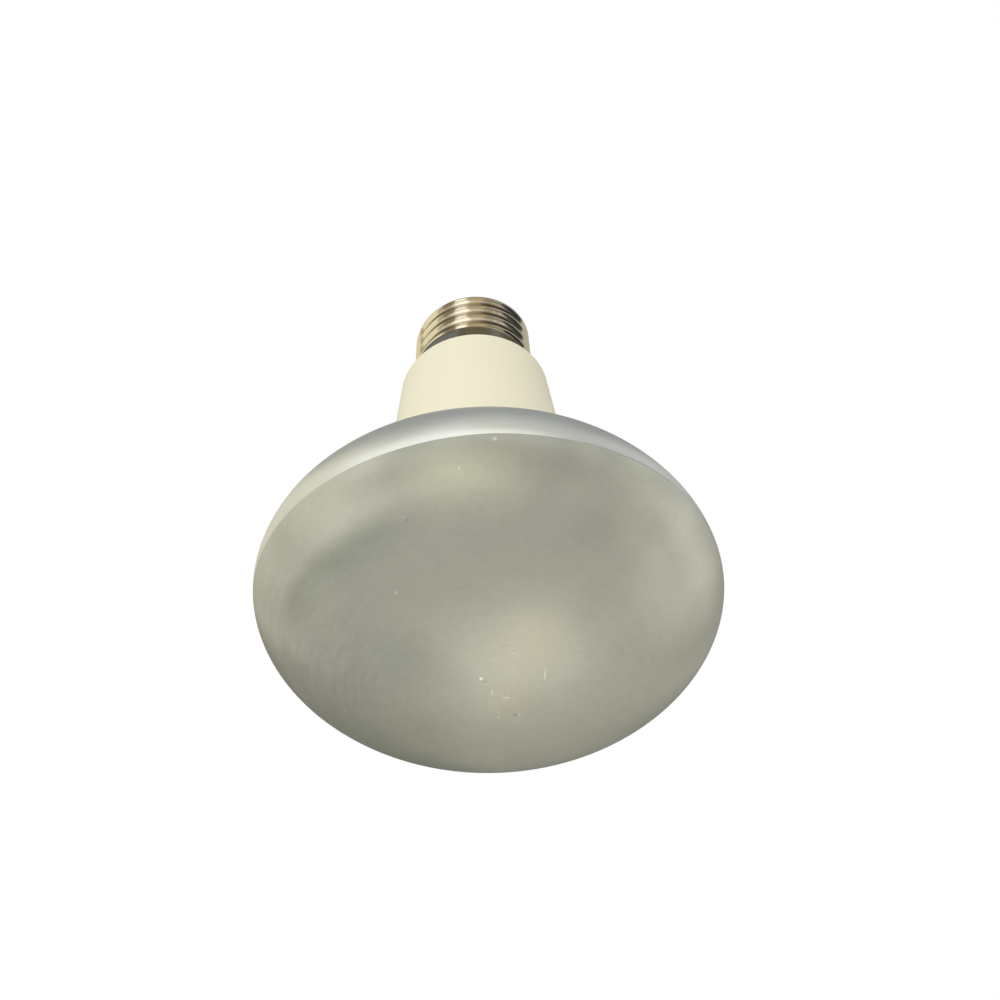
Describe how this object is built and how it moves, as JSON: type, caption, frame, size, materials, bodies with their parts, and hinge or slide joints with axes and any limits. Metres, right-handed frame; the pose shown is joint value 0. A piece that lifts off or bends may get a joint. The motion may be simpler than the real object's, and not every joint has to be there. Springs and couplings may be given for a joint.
{
  "type": "reflector bulb",
  "caption": "Self-ballasted reflector lamp: satin glass bulb with a silvered back, tapered moulded housing and round-thread screw cap.",
  "frame": {"origin": "middle of the flat end of the centre contact, the lamp's uppermost point", "axes": "+Z along the lamp's axis towards the centre contact, so the cap is up and the face is down, as hung; +X and +Y square to it"},
  "size_m": [0.08, 0.08, 0.1116],
  "materials": {
    "satin_silvered_glass": "satin glass, silvered inside on the back",
    "cream_plastic": "fine satin moulding",
    "white_cement": "dry matte",
    "nickel_plated_brass": "nickel-plated, rolled",
    "black_glass": "glossy black",
    "brass_contact": "stamped",
    "solder": "satin solder",
    "board_laminate": "pressed paper laminate",
    "capacitor_sleeve": "shrunk sleeve",
    "ferrite": "ground ferrite",
    "bobbin_plastic": "moulded",
    "enamelled_copper": "enamelled wire",
    "film_capacitor_dip": "dipped resin",
    "toroid_ferrite": "tumbled ferrite",
    "toroid_wire": "enamelled wire",
    "transistor_moulding": "moulded",
    "diode_moulding": "moulded",
    "resistor_lacquer": "lacquered",
    "tinned_wire": "tinned",
    "tinned_shell_wire": "tinned",
    "nickel_wire": "drawn"
  },
  "bodies": {
    "root": {"bulb": "satin_silvered_glass", "housing": "cream_plastic", "neck_cement": "white_cement", "screw_shell": "nickel_plated_brass", "insulator": "black_glass", "centre_contact": "brass_contact", "contact_solder": "solder", "circuit_board": "board_laminate", "electrolytic_capacitor": "capacitor_sleeve", "choke_core": "ferrite", "choke_bobbin": "bobbin_plastic", "choke_winding": "enamelled_copper", "film_capacitor": "film_capacitor_dip", "toroid_core": "toroid_ferrite", "toroid_winding": "toroid_wire", "transistors": "transistor_moulding", "rectifier_diodes": "diode_moulding", "fuse_resistor": "resistor_lacquer", "contact_lead": "tinned_wire", "shell_lead": "tinned_shell_wire", "lamp_leads": "nickel_wire"}
  },
  "joints": []
}
